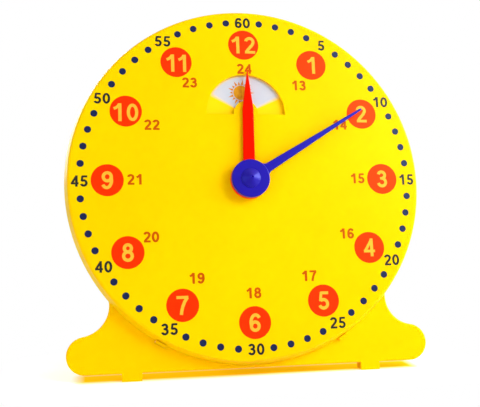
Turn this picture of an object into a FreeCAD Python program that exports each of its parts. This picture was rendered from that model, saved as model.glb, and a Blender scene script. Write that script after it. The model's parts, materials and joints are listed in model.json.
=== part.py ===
import FreeCAD, Part
import math
import os
import re
import Sketcher

# Geared teaching clock with a day/night window, on a stand plate with a fold-out easel leg.
# Millimetres. Every piece is drawn in the dial's own axes: x to the right, y up the dial, z out of
# the dial towards the reader, with the origin on the hand axis at the front of the dial. The Dial
# placement then leans the whole clock back and stands it on the ground plane.
# The gear train, from the setting knob: minute pinion 15 -> intermediate wheel 45, intermediate
# pinion 12 -> hour wheel 48 (12:1), hour pinion 26 -> day/night wheel 52 (a further 2:1).

SIZES = [
    # name, value, meaning
    ("leanAngle", 10.0, "lean of the dial back from upright, degrees"),
    ("runClear", 0.10, "radial clearance of a turning fit"),
    ("fitClear", 0.02, "radial clearance of a pressed fit"),
    ("endClear", 0.30, "end clearance of a turning piece"),
    ("layerGap", 1.0, "gap between gears of neighbouring layers"),
    # dish
    ("faceRadius", 151.5, "outer radius of the dish at its back edge"),
    ("faceTaper", 3.0, "how much smaller the dish is at its front"),
    ("faceDepth", 10.8, "depth of the dish"),
    ("faceWall", 2.5, "wall of the dish"),
    ("faceRound", 2.5, "rounding of the dish's front edge"),
    ("windowRadius", 33.8, "outer radius of the half-ring window"),
    ("windowTab", 10.4, "radius of the round tab that hides the disc's pivot"),
    ("windowDrop", 1.2, "window's flat sill below the disc's centre"),
    ("bossRadius", 4.0, "radius of the dish's screw bosses"),
    ("bossInset", 23.5, "circle of screws inside the dish's edge"),
    ("shellScrews", 6, "number of screws that join the shells"),
    ("clipAngle", 30.0, "angle of each clip from the bottom of the dial, degrees"),
    ("clipWidth", 9.0, "width of a clip"),
    ("clipThick", 1.8, "thickness of a clip"),
    ("clipBarb", 1.2, "reach of a clip's barb"),
    ("clipRise", 4.8, "how far a clip starts above the dish's back edge"),
    # stand plate
    ("plateInset", 0.3, "how far the stand plate stays inside the dish's edge"),
    ("standWall", 2.5, "wall of the stand plate"),
    ("standDepth", 11.2, "depth of the stand plate's flange"),
    ("baseBelow", 2.4, "stand plate's lower edge below the dish"),
    ("lobeInset", 16.3, "centre of a base lobe inside the dish's side"),
    ("lobeRadius", 15.2, "radius of a base lobe"),
    ("flankRadius", 24.5, "radius of a hollow flank's arc"),
    ("flankBite", 3.2, "how far a hollow flank's circle reaches into the dial's circle"),
    ("edgeRound", 1.5, "rounding of the base's front edge"),
    ("ribThick", 1.8, "thickness of the stiffening ribs"),
    ("ribHeight", 5.0, "height of the stiffening ribs"),
    ("ribStart", 56.0, "inner end of the radial ribs"),
    ("ribCount", 8, "number of radial ribs"),
    ("footX", 99.0, "centre of a foot, from the middle"),
    ("footWidth", 16.0, "width of a foot"),
    ("footHeight", 6.2, "foot's front edge below the stand plate's lower edge"),
    ("slotGap", 0.3, "gap round a clip in its slot"),
    ("clipPlay", 0.25, "gap between a clip's tongue and the dish's edge"),
    # gear train
    ("gearModule", 1.5, "gear module"),
    ("toothTip", 0.9, "height of a tooth above the pitch circle, in modules"),
    ("toothRoot", 1.25, "depth of a tooth below the pitch circle, in modules"),
    ("toothPlay", 0.3, "play between meshing flanks"),
    ("minuteTeeth", 15, "teeth of the minute pinion"),
    ("interTeeth", 45, "teeth of the intermediate wheel"),
    ("interPinTeeth", 12, "teeth of the intermediate pinion"),
    ("hourTeeth", 48, "teeth of the hour wheel"),
    ("hourPinTeeth", 26, "teeth of the hour pinion"),
    ("discTeeth", 52, "teeth of the day/night wheel"),
    ("wheelThick", 3.0, "thickness of the hour and intermediate wheels"),
    ("discThick", 2.5, "thickness of the day/night wheel"),
    ("discRecess", 2.5, "day/night wheel behind the inside of the dish"),
    ("skyMargin", 3.2, "how much wider the wheel's printed face is than the window"),
    ("skyRise", 1.7, "how far the wheel's printed face stands in front of its teeth"),
    ("skyHollow", 1.2, "gap round the disc washer in the middle of the printed face"),
    ("meshOverlap", 0.25, "how much wider a pinion is than its wheel, each side"),
    ("wheelHoles", 5, "number of lightening holes in a wheel"),
    ("wheelHole", 6.5, "radius of a lightening hole"),
    ("holeCircle", 21.5, "radius of the circle of lightening holes"),
    # shafts and posts
    ("arborRadius", 3.0, "radius of the minute arbor"),
    ("arborFlat", 2.4, "distance of the arbor's flats from its axis"),
    ("arborEnd", 0.5, "arbor's front end below the minute hub's top"),
    ("boreHole", 1.25, "radius of the screw and spigot holes"),
    ("pipeWall", 2.4, "wall of the hour pipe"),
    ("collarWidth", 2.0, "how much wider a collar is than its shaft"),
    ("discPin", 4.0, "radius of the day/night wheel's pin"),
    ("interPin", 3.5, "radius of the intermediate gear's pin"),
    ("postStep", 3.0, "how much wider a post's base is than its pin"),
    ("bushWall", 2.0, "wall of the arbor's bush"),
    ("bushFlange", 3.0, "how much wider the bush's flange is than the bush"),
    ("bushLip", 1.0, "thickness of the bush's flange"),
    # fasteners
    ("washerThick", 0.6, "thickness of the post washers"),
    ("washerRim", 2.8, "how much wider a post washer is than its pin"),
    ("headRadius", 3.3, "radius of the post and knob screws' heads"),
    ("headThick", 1.2, "thickness of the post and knob screws' heads"),
    ("shankRadius", 1.2, "radius of all screw shanks"),
    ("shankLength", 5.0, "length of the post and knob screws' shanks"),
    ("shellHead", 3.5, "radius of a shell screw's head"),
    ("shellHeadThick", 2.0, "thickness of a shell screw's head"),
    ("shellShank", 8.5, "length of a shell screw's shank"),
    ("shellHole", 1.6, "radius of the shell screws' holes in the stand plate"),
    ("waveThick", 0.5, "thickness of the friction washer"),
    ("waveGap", 0.15, "gap on each side of the friction washer"),
    # hands
    ("hubRadius", 16.0, "radius of both hands' hubs"),
    ("hourGap", 0.8, "hour hand above the dial"),
    ("hourHub", 4.0, "thickness of the hour hand's hub"),
    ("handGap", 0.4, "gap between the two hubs"),
    ("minuteHub", 4.5, "thickness of the minute hand's hub"),
    ("bladeThick", 3.0, "thickness of both hands' blades"),
    ("bladeBevel", 0.6, "bevel of the blades' and hubs' front edges"),
    ("hourRoot", 5.05, "half width of the hour hand at its hub"),
    ("hourShoulder", 4.5, "half width of the hour hand where its point begins"),
    ("hourPoint", 62.0, "where the hour hand's point begins"),
    ("hourLength", 96.0, "length of the hour hand"),
    ("hourTurn", 1.2, "hour hand clockwise from twelve, degrees"),
    ("hourFillet", 1.5, "fillet between the hour hand's blade and hub"),
    ("minuteRoot", 4.3, "half width of the minute hand at its hub"),
    ("minuteTip", 0.9, "half width of the minute hand at its tip"),
    ("minuteLength", 116.8, "length of the minute hand"),
    ("minuteFillet", 6.0, "fillet between the minute hand's blade and hub"),
    ("minuteTurn", 58.6, "minute hand clockwise from twelve, degrees"),
    ("capRadius", 7.9, "radius of the hub's cone"),
    ("capLip", 0.6, "straight edge under the cone"),
    ("capHeight", 5.4, "height of the cone"),
    ("capNose", 1.5, "radius of the cone's nose"),
    ("dimpleRadius", 0.8, "radius of the dimple in the nose"),
    ("dimpleDepth", 1.2, "depth of the dimple"),
    ("spigotLength", 4.5, "length of the cone's spigot"),
    # setting knob
    ("knobRadius", 19.0, "radius of the setting knob"),
    ("knobHub", 7.0, "radius of the setting knob's hub"),
    ("knobStep", 2.0, "height of the hub in front of the grip"),
    ("knobGrip", 8.0, "depth of the knob's grip"),
    ("knobWeb", 1.5, "web under the knob screw's head"),
    ("knobRecess", 2.5, "depth of the knob screw's recess"),
    ("knobRoom", 1.0, "gap round the knob screw's head in its recess"),
    ("knobScallop", 3.6, "radius of a finger scallop"),
    ("knobScallops", 12, "number of finger scallops"),
    ("knobHollow", 4.5, "depth of the hollow in the knob's front"),
    ("knobWall", 2.6, "wall of the knob outside its hollow"),
    # easel leg
    ("legOpen", 27.0, "opening of the leg from its folded place, degrees"),
    ("hingeDrop", 36.0, "leg's hinge below the hand axis"),
    ("hingeBack", 7.25, "leg's hinge behind the gear well"),
    ("hingePin", 1.5, "radius of the hinge pin"),
    ("knuckleRadius", 4.5, "radius of the hinge's knuckles and lugs"),
    ("lugThick", 5.0, "thickness of a hinge lug"),
    ("legWidth", 55.0, "width of the leg's knuckle"),
    ("toeWidth", 84.0, "width of the leg at its toe"),
    ("legThick", 2.5, "thickness of the leg's plate"),
    ("legInset", 0.6, "leg's outer face inside its knuckle"),
    ("legRib", 5.8, "depth of the leg's side ribs with the plate"),
    ("toeRadius", 3.5, "radius of the leg's toe bar"),
    ("toeBack", 1.0, "toe bar's centre behind the hinge, leg folded"),
    ("heelFrom", 2.0, "start of the leg's stop heel above the hinge"),
    ("heelTo", 7.0, "top of the leg's stop heel above the hinge"),
    ("heelWidth", 24.0, "width of the stop heel"),
    ("stopClear", 0.15, "gap of the stop heel with the leg open"),
    ("pinHead", 2.9, "radius of the hinge pin's head and clip"),
    ("pinHeadThick", 1.2, "thickness of the hinge pin's head and clip"),
]
NAMES = {name for name, value, meaning in SIZES}

# Places worked out from the sizes, out of the dial (z), front to back.
MINUTE_TOP = "(hourGap + hourHub + handGap + minuteHub)"
MINUTE_SEAT = "(hourGap + hourHub + handGap)"
DISC_FRONT = "(0 - faceWall - discRecess)"
DISC_BACK = "(0 - faceWall - discRecess - discThick)"
HOUR_FRONT = "(0 - faceWall - discRecess - discThick - meshOverlap - layerGap)"
HOUR_BACK = HOUR_FRONT[:-1] + " - wheelThick)"
INTER_FRONT = HOUR_BACK[:-1] + " - layerGap)"
INTER_BACK = INTER_FRONT[:-1] + " - wheelThick)"
WELL_FLOOR = INTER_BACK[:-1] + " - layerGap)"
WELL_BACK = WELL_FLOOR[:-1] + " - standWall)"
BUSH_BACK = WELL_BACK[:-1] + " - bushLip)"
KNOB_FRONT = BUSH_BACK[:-1] + " - waveThick - 2 * waveGap)"
GRIP_FRONT = KNOB_FRONT[:-1] + " - knobStep)"
KNOB_BACK = GRIP_FRONT[:-1] + " - knobGrip)"
KNOB_WEB = f"({KNOB_BACK} + knobRecess)"
ARBOR_BACK = f"({KNOB_WEB} + knobWeb)"
PLATE_FRONT = "(0 - faceDepth)"
PLATE_BACK = "(0 - faceDepth - standWall)"
STAND_BACK = "(0 - faceDepth - standDepth)"
HINGE_BACK = WELL_BACK[:-1] + " - hingeBack)"
# Places and radii in the dial's plane.
PIPE_RADIUS = "(arborRadius + runClear + pipeWall)"
BUSH_RADIUS = "(arborRadius + runClear + bushWall)"
BOSS_CIRCLE = "(faceRadius - bossInset)"
BASE_DROP = "(faceRadius + baseBelow)"
FOOT_REACH = "(faceRadius + baseBelow + footHeight)"
LOBE_X = "(faceRadius - lobeInset)"
FLANK_REACH = "(faceRadius - plateInset + flankRadius - flankBite)"
DISC_Y = "(gearModule * (hourPinTeeth + discTeeth) / 2)"
INTER_Y = "(0 - gearModule * (minuteTeeth + interTeeth) / 2)"
HOUR_TIP = "(gearModule * (hourTeeth / 2 + toothTip))"
INTER_TIP = "(gearModule * (interTeeth / 2 + toothTip))"
WELL_Y = f"(({HOUR_TIP} + {INTER_Y} - {INTER_TIP}) / 2)"
WELL_RADIUS = f"(({HOUR_TIP} - {INTER_Y} + {INTER_TIP}) / 2 + layerGap)"
LEG_SLOPE = "(legOpen - leanAngle)"
# The dial's height above the ground, and the leg that reaches the ground from its hinge.
DIAL_UP = f"({FOOT_REACH} * cos(leanAngle) - {PLATE_FRONT} * sin(leanAngle))"
HINGE_UP = f"({DIAL_UP} - hingeDrop * cos(leanAngle) + {HINGE_BACK} * sin(leanAngle))"
LEG_LENGTH = f"(({HINGE_UP} + toeBack * sin({LEG_SLOPE}) - toeRadius) / cos({LEG_SLOPE}))"
# The clock's foremost and rearmost reach from the hand axis put the origin midway.
FORE = "((faceRadius - faceTaper - faceRound) * sin(leanAngle) + faceRound * (1 - cos(leanAngle)))"
HINGE_AFT = f"(0 - hingeDrop * sin(leanAngle) - {HINGE_BACK} * cos(leanAngle))"
AFT = f"({HINGE_AFT} + {LEG_LENGTH} * sin({LEG_SLOPE}) + toeBack * cos({LEG_SLOPE}) + toeRadius)"

doc = FreeCAD.newDocument("TeachingClock")
sheet = doc.addObject("Spreadsheet::Sheet", "Sizes")
for row, (name, value, meaning) in enumerate(SIZES, start=1):
    sheet.set(f"A{row}", meaning)
    sheet.set(f"B{row}", str(value))
    sheet.setAlias(f"B{row}", name)
doc.recompute()

parts = []


def bound(text):
    """The same expression with each size's name pointing at the spreadsheet."""
    return re.sub(r"[A-Za-z]\w*", lambda word: "Sizes." + word[0] if word[0] in NAMES else word[0], text)


def number(text):
    """What an expression comes to now."""
    value = sheet.evalExpression(bound(text))
    return float(getattr(value, "Value", value))


def origin_feature(body, role):
    return next(feature for feature in body.Origin.OriginFeatures if feature.Role == role)


def place(item, x="0", y="0", z="0", turn="0"):
    """Put a sub-part at a point of the dial, turned about its own z axis."""
    item.setExpression("Placement", bound(
        f"Dial.Placement * create(<<placement>>; create(<<vector>>; {x}; {y}; {z});"
        f" create(<<rotation>>; create(<<vector>>; 0; 0; 1); {turn}))"))


def new_body(label, x="0", y="0", z="0", turn="0"):
    body = doc.addObject("PartDesign::Body", label)
    body.Label = label
    place(body, x, y, z, turn)
    parts.append(body)
    return body


def sketch(body, height="0", role="XY_Plane", turn="0"):
    """A sketch on one of the body's origin planes, raised along the plane's normal."""
    drawing = body.newObject("Sketcher::SketchObject", body.Label + "_sketch")
    drawing.AttachmentSupport = (origin_feature(body, role), [""])
    drawing.MapMode = "FlatFace"
    drawing.setExpression("AttachmentOffset.Base.z", bound(height))
    if turn != "0":
        drawing.setExpression("AttachmentOffset.Rotation.Angle", bound(turn))
    return drawing


def constrain(drawing, kind, *where_and_size):
    """A dimension tied to an expression, which is the last argument."""
    *where, text = where_and_size
    index = drawing.addConstraint(Sketcher.Constraint(kind, *where, number(text)))
    drawing.setExpression(f"Constraints[{index}]", bound(text))


def fix_point(drawing, curve, end, x, y):
    for kind, text, axis in (("DistanceX", x, -2), ("DistanceY", y, -1)):
        if text == "0":
            drawing.addConstraint(Sketcher.Constraint("PointOnObject", curve, end, axis))
        else:
            constrain(drawing, kind, -1, 1, curve, end, text)


def circle(drawing, radius, x="0", y="0"):
    centre = FreeCAD.Vector(number(x), number(y), 0)
    curve = drawing.addGeometry(Part.Circle(centre, FreeCAD.Vector(0, 0, 1), number(radius)), False)
    constrain(drawing, "Radius", curve, radius)
    fix_point(drawing, curve, 3, x, y)


def polygon(drawing, corners):
    spots = [FreeCAD.Vector(number(x), number(y), 0) for x, y in corners]
    lines = [drawing.addGeometry(Part.LineSegment(spot, spots[(i + 1) % len(spots)]), False)
             for i, spot in enumerate(spots)]
    for i, (x, y) in enumerate(corners):
        drawing.addConstraint(Sketcher.Constraint("Coincident", lines[i - 1], 2, lines[i], 1))
        fix_point(drawing, lines[i], 1, x, y)


def rectangle(drawing, left, right, low, high):
    polygon(drawing, [(left, low), (right, low), (right, high), (left, high)])


def arc(centre, radius, start, end):
    """A counter-clockwise arc from the start point to the end point."""
    ring = Part.Circle(centre, FreeCAD.Vector(0, 0, 1), radius)
    first, last = ring.parameter(start), ring.parameter(end)
    return Part.ArcOfCircle(ring, first, last if last > first else last + math.tau)


def crossing(centre, radius, other_centre, other_radius):
    """Where two circles cross, on the right of the way from the first centre to the other."""
    way = other_centre - centre
    along = (radius ** 2 - other_radius ** 2 + way.Length ** 2) / (2 * way.Length)
    across = (radius ** 2 - along ** 2) ** 0.5
    ray = way / way.Length
    return centre + ray * along + FreeCAD.Vector(ray.y, -ray.x, 0) * across


def solid_feature(body, kind, drawing, length, up):
    feature = body.newObject("PartDesign::" + kind, body.Label + "_" + kind.lower())
    feature.Profile = drawing
    feature.setExpression("Length", bound(length))
    feature.Reversed = up if kind == "Pocket" else not up
    drawing.Visibility = False
    return feature


def pad(body, drawing, length, up=True):
    """Add the sketch's outline along +z of its plane, or along -z."""
    return solid_feature(body, "Pad", drawing, length, up)


def pocket(body, drawing, length, up=False):
    """Cut the sketch's outline along -z of its plane, or along +z, and see that it cuts."""
    doc.recompute()
    before = body.Shape.Volume
    feature = solid_feature(body, "Pocket", drawing, length, up)
    doc.recompute()
    if body.Shape.Volume > before - 1e-6:
        raise RuntimeError(f"{feature.Label} of {body.Label} cuts nothing")
    return feature


def turned(body, profile):
    """Revolve a profile of (radius, z) corners about the body's z axis."""
    drawing = sketch(body, role="XZ_Plane")
    polygon(drawing, profile)
    feature = body.newObject("PartDesign::Revolution", body.Label + "_revolution")
    feature.Profile = drawing
    feature.ReferenceAxis = (drawing, ["V_Axis"])
    feature.Angle = 360
    return feature


def ring_of(body, feature, count):
    pattern = body.newObject("PartDesign::PolarPattern", body.Label + "_pattern")
    pattern.Originals = [feature]
    pattern.Axis = (origin_feature(body, "Z_Axis"), [""])
    pattern.Angle = 360
    pattern.setExpression("Occurrences", bound(count))
    body.Tip = pattern
    return pattern


def mirrored(body, feature):
    """Repeat a feature on the other side of the clock's middle."""
    mirror = body.newObject("PartDesign::Mirrored", body.Label + "_mirror")
    mirror.Originals = [feature]
    mirror.MirrorPlane = (origin_feature(body, "YZ_Plane"), [""])
    body.Tip = mirror
    return mirror


def dress_edges(body, kind, measure, size, wanted):
    """Fillet or chamfer the edges of the body that the test wants."""
    doc.recompute()
    base = body.Tip
    names = [f"Edge{i}" for i, edge in enumerate(base.Shape.Edges, start=1) if wanted(edge)]
    feature = body.newObject("PartDesign::" + kind, body.Label + "_" + kind.lower())
    feature.Base = (base, names)
    feature.setExpression(measure, bound(size))
    return feature


def fillet_edges(body, radius, wanted):
    return dress_edges(body, "Fillet", "Radius", radius, wanted)


def bevel_edges(body, size, wanted):
    return dress_edges(body, "Chamfer", "Size", size, wanted)


def edge_heights(edge):
    box = edge.BoundBox
    return box.ZMin, box.ZMax


# --- Gears -----------------------------------------------------------------------------------

def space_half_angle(radius, teeth):
    """Half the angle of the space between two involute teeth at a radius, in degrees."""
    base = f"(gearModule * ({teeth}) / 2 * cos(20))"
    slant = f"acos(min(1; {base} / ({radius})))"
    play = f"(toothPlay / (gearModule * ({teeth})) * 180 / pi)"
    return (f"(90 / ({teeth}) + {play} - (tan(20) * 180 / pi - 20)"
            f" + tan({slant}) * 180 / pi - {slant} / 1deg)")


def cut_teeth(body, teeth, front, height):
    """Cut the spaces between the teeth downwards from the front, one of them towards +y."""
    drawing = sketch(body, front)
    half = []
    tip = f"(gearModule * (({teeth}) / 2 + toothTip))"
    for radius in (f"(gearModule * (({teeth}) / 2 - toothRoot))", f"(gearModule * ({teeth}) / 2)", tip):
        angle = space_half_angle(radius, teeth)
        half.append((f"{radius} * sin({angle})", f"{radius} * cos({angle})"))
    half.append((half[-1][0], f"{tip} + gearModule"))
    left = [(f"0 - {x}", y) for x, y in reversed(half)]
    polygon(drawing, half + left)
    ring_of(body, pocket(body, drawing, height), teeth)


def gear_blank(body, teeth, back, thickness):
    drawing = sketch(body, back)
    circle(drawing, f"gearModule * (({teeth}) / 2 + toothTip)")
    pad(body, drawing, thickness)


def bore(body, radius, front, depth):
    drawing = sketch(body, front)
    circle(drawing, radius)
    return pocket(body, drawing, depth)


def post(body, radius, low, high, y="0"):
    """A round post from one level to another."""
    drawing = sketch(body, low)
    circle(drawing, radius, "0", y)
    pad(body, drawing, f"({high}) - ({low})")


def lightening_holes(body, front, height):
    drawing = sketch(body, front)
    circle(drawing, "wheelHole", "0", "holeCircle")
    ring_of(body, pocket(body, drawing, height), "wheelHoles")


def minute_pinion():
    body = new_body("minute_pinion", turn="180 - 180 / minuteTeeth")
    thick = "wheelThick + 2 * meshOverlap"
    front = f"({INTER_FRONT} + meshOverlap)"
    gear_blank(body, "minuteTeeth", f"({INTER_BACK} - meshOverlap)", thick)
    cut_teeth(body, "minuteTeeth", front, thick)
    post(body, "arborRadius + collarWidth", f"{WELL_FLOOR} + endClear", f"{INTER_BACK} - meshOverlap")
    bore(body, "arborRadius + fitClear", front, "2 * wheelThick")


def intermediate_gear():
    body = new_body("intermediate_gear", y=INTER_Y)
    pinion_front = f"({HOUR_FRONT} + meshOverlap)"
    gear_blank(body, "interTeeth", INTER_BACK, "wheelThick")
    cut_teeth(body, "interTeeth", INTER_FRONT, "wheelThick")
    lightening_holes(body, INTER_FRONT, "wheelThick")
    height = f"({pinion_front} - {INTER_FRONT})"
    gear_blank(body, "interPinTeeth", INTER_FRONT, height)
    cut_teeth(body, "interPinTeeth", pinion_front, height)
    bore(body, "interPin + runClear", pinion_front, f"({height} + wheelThick)")


def hour_gear():
    body = new_body("hour_gear", turn="180 - 180 / hourTeeth")
    gear_blank(body, "hourTeeth", HOUR_BACK, "wheelThick")
    cut_teeth(body, "hourTeeth", HOUR_FRONT, "wheelThick")
    lightening_holes(body, HOUR_FRONT, "wheelThick")
    rear = f"({INTER_FRONT} + meshOverlap + endClear)"
    post(body, f"{PIPE_RADIUS} + collarWidth", rear, f"{DISC_BACK} - meshOverlap")
    post(body, PIPE_RADIUS, HOUR_FRONT, "hourGap + hourHub")
    bore(body, "arborRadius + runClear", "hourGap + hourHub", f"hourGap + hourHub - {rear}")


def hour_pinion():
    body = new_body("hour_pinion")
    thick = "discThick + 2 * meshOverlap"
    front = f"({DISC_FRONT} + meshOverlap)"
    gear_blank(body, "hourPinTeeth", f"({DISC_BACK} - meshOverlap)", thick)
    cut_teeth(body, "hourPinTeeth", front, thick)
    bore(body, f"{PIPE_RADIUS} + fitClear", front, thick)


def day_night_wheel():
    """A toothed wheel whose printed face stands close behind the window."""
    body = new_body("day_night_wheel", y=DISC_Y, turn="180 - 180 / discTeeth")
    gear_blank(body, "discTeeth", DISC_BACK, "discThick")
    cut_teeth(body, "discTeeth", DISC_FRONT, "discThick")
    face = sketch(body, DISC_FRONT)
    circle(face, "windowRadius + skyMargin")
    circle(face, "discPin + washerRim + skyHollow")
    pad(body, face, "skyRise")
    bore(body, "discPin + runClear", DISC_FRONT, "discThick")


# --- Shells ----------------------------------------------------------------------------------

def face_plate():
    """The dish: a flat dial with a tapered rim, its window, bosses and clips."""
    body = new_body("face_plate")
    front_radius = "faceRadius - faceTaper"
    turned(body, [("0", "0"), (front_radius, "0"), ("faceRadius", PLATE_FRONT),
                  ("faceRadius - faceWall", PLATE_FRONT),
                  ("faceRadius - faceTaper - faceWall", "0 - faceWall"), ("0", "0 - faceWall")])
    fillet_edges(body, "faceRound", lambda edge: edge.BoundBox.ZMin > -1e-6)

    post(body, f"{PIPE_RADIUS} + 2 * collarWidth", f"({DISC_FRONT} + meshOverlap + endClear)", "0 - faceWall")
    bore(body, f"{PIPE_RADIUS} + runClear", "0", "2 * faceWall + discRecess")

    window = sketch(body, "0")
    draw_window(window)
    pocket(body, window, "faceWall")

    boss = sketch(body, PLATE_FRONT)
    circle(boss, "bossRadius", "0", BOSS_CIRCLE)
    circle(boss, "boreHole", "0", BOSS_CIRCLE)
    ring_of(body, pad(body, boss, "faceDepth - faceWall"), "shellScrews")

    clip = sketch(body, f"{PLATE_FRONT} + clipRise", turn="clipAngle")
    rectangle(clip, "0 - clipWidth / 2", "clipWidth / 2",
              "0 - faceRadius - clipThick", "0 - faceRadius + clipThick / 3")
    mirrored(body, pad(body, clip, "clipRise", up=False))
    tongue = sketch(body, PLATE_FRONT, turn="clipAngle")
    rectangle(tongue, "0 - clipWidth / 2", "clipWidth / 2",
              "0 - faceRadius - clipThick", "0 - faceRadius - clipPlay")
    mirrored(body, pad(body, tongue, "standWall + endClear", up=False))
    barb = sketch(body, f"{PLATE_BACK} - endClear", turn="clipAngle")
    rectangle(barb, "0 - clipWidth / 2", "clipWidth / 2",
              "0 - faceRadius - clipThick", "clipBarb - faceRadius - clipPlay")
    mirrored(body, pad(body, barb, "clipThick", up=False))


def draw_window(drawing):
    """A half ring about the disc's centre, with a flat sill on both sides of the round tab."""
    centre, sill = FreeCAD.Vector(0, number(DISC_Y), 0), number(f"{DISC_Y} - windowDrop")
    outer, inner = number("windowRadius"), number("windowTab")
    drop = number("windowDrop")
    reach, tab = (outer ** 2 - drop ** 2) ** 0.5, (inner ** 2 - drop ** 2) ** 0.5
    spots = [FreeCAD.Vector(x, sill, 0) for x in (-reach, -tab, tab, reach)]
    rim = drawing.addGeometry(arc(centre, outer, spots[3], spots[0]), False)
    hub = drawing.addGeometry(arc(centre, inner, spots[2], spots[1]), False)
    left = drawing.addGeometry(Part.LineSegment(spots[0], spots[1]), False)
    right = drawing.addGeometry(Part.LineSegment(spots[2], spots[3]), False)
    constrain(drawing, "Radius", rim, "windowRadius")
    constrain(drawing, "Radius", hub, "windowTab")
    fix_point(drawing, rim, 3, "0", DISC_Y)
    drawing.addConstraint(Sketcher.Constraint("Coincident", rim, 3, hub, 3))
    for joint in ((rim, 2, left, 1), (left, 2, hub, 2), (hub, 1, right, 1), (right, 2, rim, 1)):
        drawing.addConstraint(Sketcher.Constraint("Coincident", *joint))
    for line in (left, right):
        drawing.addConstraint(Sketcher.Constraint("Horizontal", line))
        constrain(drawing, "DistanceY", -1, 1, line, 1, f"{DISC_Y} - windowDrop")


def draw_stand(drawing, inset):
    """The stand plate's outline: dial circle, hollow flanks, round lobes and a straight lower edge."""
    disc = number(f"faceRadius - plateInset - ({inset})")
    lobe, flank = number(f"lobeRadius - ({inset})"), number(f"flankRadius + ({inset})")
    base = number(f"{BASE_DROP} - ({inset})")
    dial_centre = FreeCAD.Vector(0, 0, 0)
    lobe_centre = FreeCAD.Vector(number(LOBE_X), lobe - base, 0)
    flank_centre = crossing(lobe_centre, lobe + flank, dial_centre, number(FLANK_REACH))
    touch = lobe_centre + (flank_centre - lobe_centre) * (lobe / (lobe + flank))
    notch = crossing(dial_centre, disc, flank_centre, flank)
    foot = FreeCAD.Vector(lobe_centre.x, -base, 0)

    def flip(spot):
        return FreeCAD.Vector(-spot.x, spot.y, 0)

    dial = drawing.addGeometry(arc(dial_centre, disc, notch, flip(notch)), False)
    right_flank = drawing.addGeometry(arc(flank_centre, flank, notch, touch), False)
    right_lobe = drawing.addGeometry(arc(lobe_centre, lobe, foot, touch), False)
    left_flank = drawing.addGeometry(arc(flip(flank_centre), flank, flip(touch), flip(notch)), False)
    left_lobe = drawing.addGeometry(arc(flip(lobe_centre), lobe, flip(touch), flip(foot)), False)
    bottom = drawing.addGeometry(Part.LineSegment(flip(foot), foot), False)
    drawing.addConstraint(Sketcher.Constraint("Coincident", dial, 3, -1, 1))
    constrain(drawing, "Radius", dial, f"faceRadius - plateInset - ({inset})")
    drawing.addConstraint(Sketcher.Constraint("Horizontal", bottom))
    constrain(drawing, "DistanceY", -1, 1, bottom, 1, f"({inset}) - {BASE_DROP}")
    for flank_arc, lobe_arc in ((right_flank, right_lobe), (left_flank, left_lobe)):
        constrain(drawing, "Radius", flank_arc, f"flankRadius + ({inset})")
        constrain(drawing, "Radius", lobe_arc, f"lobeRadius - ({inset})")
        constrain(drawing, "Distance", -1, 1, flank_arc, 3, FLANK_REACH)
    for joint in ((bottom, 2, right_lobe, 1), (right_lobe, 2, right_flank, 2),
                  (left_flank, 1, left_lobe, 1), (left_lobe, 2, bottom, 1)):
        drawing.addConstraint(Sketcher.Constraint("Tangent", *joint))
    constrain(drawing, "DistanceX", -1, 1, right_lobe, 3, LOBE_X)
    constrain(drawing, "DistanceX", -1, 1, left_lobe, 3, f"0 - {LOBE_X}")
    for joint in ((dial, 1, right_flank, 1), (dial, 2, left_flank, 2)):
        drawing.addConstraint(Sketcher.Constraint("Coincident", *joint))


def back_plate():
    """The stand: a shallow tray with the gear well, posts, hinge lugs and feet."""
    body = new_body("back_plate")
    outline = sketch(body, PLATE_FRONT)
    draw_stand(outline, "0")
    pad(body, outline, "standDepth", up=False)
    round_base_edge(body)
    inside = sketch(body, STAND_BACK)
    draw_stand(inside, "standWall")
    pocket(body, inside, "standDepth - standWall", up=True)

    rib = sketch(body, PLATE_BACK, turn="180 / ribCount")
    rectangle(rib, "0 - ribThick / 2", "ribThick / 2", "ribStart", "faceRadius - plateInset - standWall / 2")
    ring_of(body, pad(body, rib, "ribHeight", up=False), "ribCount")

    well = sketch(body, PLATE_BACK)
    circle(well, f"{WELL_RADIUS} + standWall", "0", WELL_Y)
    pad(body, well, f"{PLATE_BACK} - {WELL_BACK}", up=False)
    hollow = sketch(body, PLATE_FRONT)
    circle(hollow, WELL_RADIUS, "0", WELL_Y)
    pocket(body, hollow, f"{PLATE_FRONT} - {WELL_FLOOR}")

    back_plate_posts(body)
    back_plate_holes(body)
    back_plate_lugs(body)
    back_plate_feet(body)


def round_base_edge(body):
    """Round the front edge of the base, but not the circle that the dish sits on."""
    front = number(PLATE_FRONT)
    seat = number("faceRadius - plateInset")

    def on_base(edge):
        low, high = edge_heights(edge)
        if low < front - 1e-3 or high > front + 1e-3:
            return False
        return not (hasattr(edge.Curve, "Radius") and abs(edge.Curve.Radius - seat) < 1e-3)

    fillet_edges(body, "edgeRound", on_base)


def back_plate_posts(body):
    post(body, "discPin + postStep", PLATE_BACK, f"{DISC_BACK} - endClear", DISC_Y)
    post(body, "discPin", f"{DISC_BACK} - endClear", f"{DISC_FRONT} + endClear", DISC_Y)
    post(body, "interPin + postStep", WELL_FLOOR, f"{INTER_BACK} - endClear", INTER_Y)
    post(body, "interPin", f"{INTER_BACK} - endClear", f"{HOUR_FRONT} + meshOverlap + endClear", INTER_Y)
    for y, top in ((DISC_Y, f"{DISC_FRONT} + endClear"),
                   (INTER_Y, f"{HOUR_FRONT} + meshOverlap + endClear")):
        pilot = sketch(body, top)
        circle(pilot, "boreHole", "0", y)
        pocket(body, pilot, "shankLength + endClear")


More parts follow.
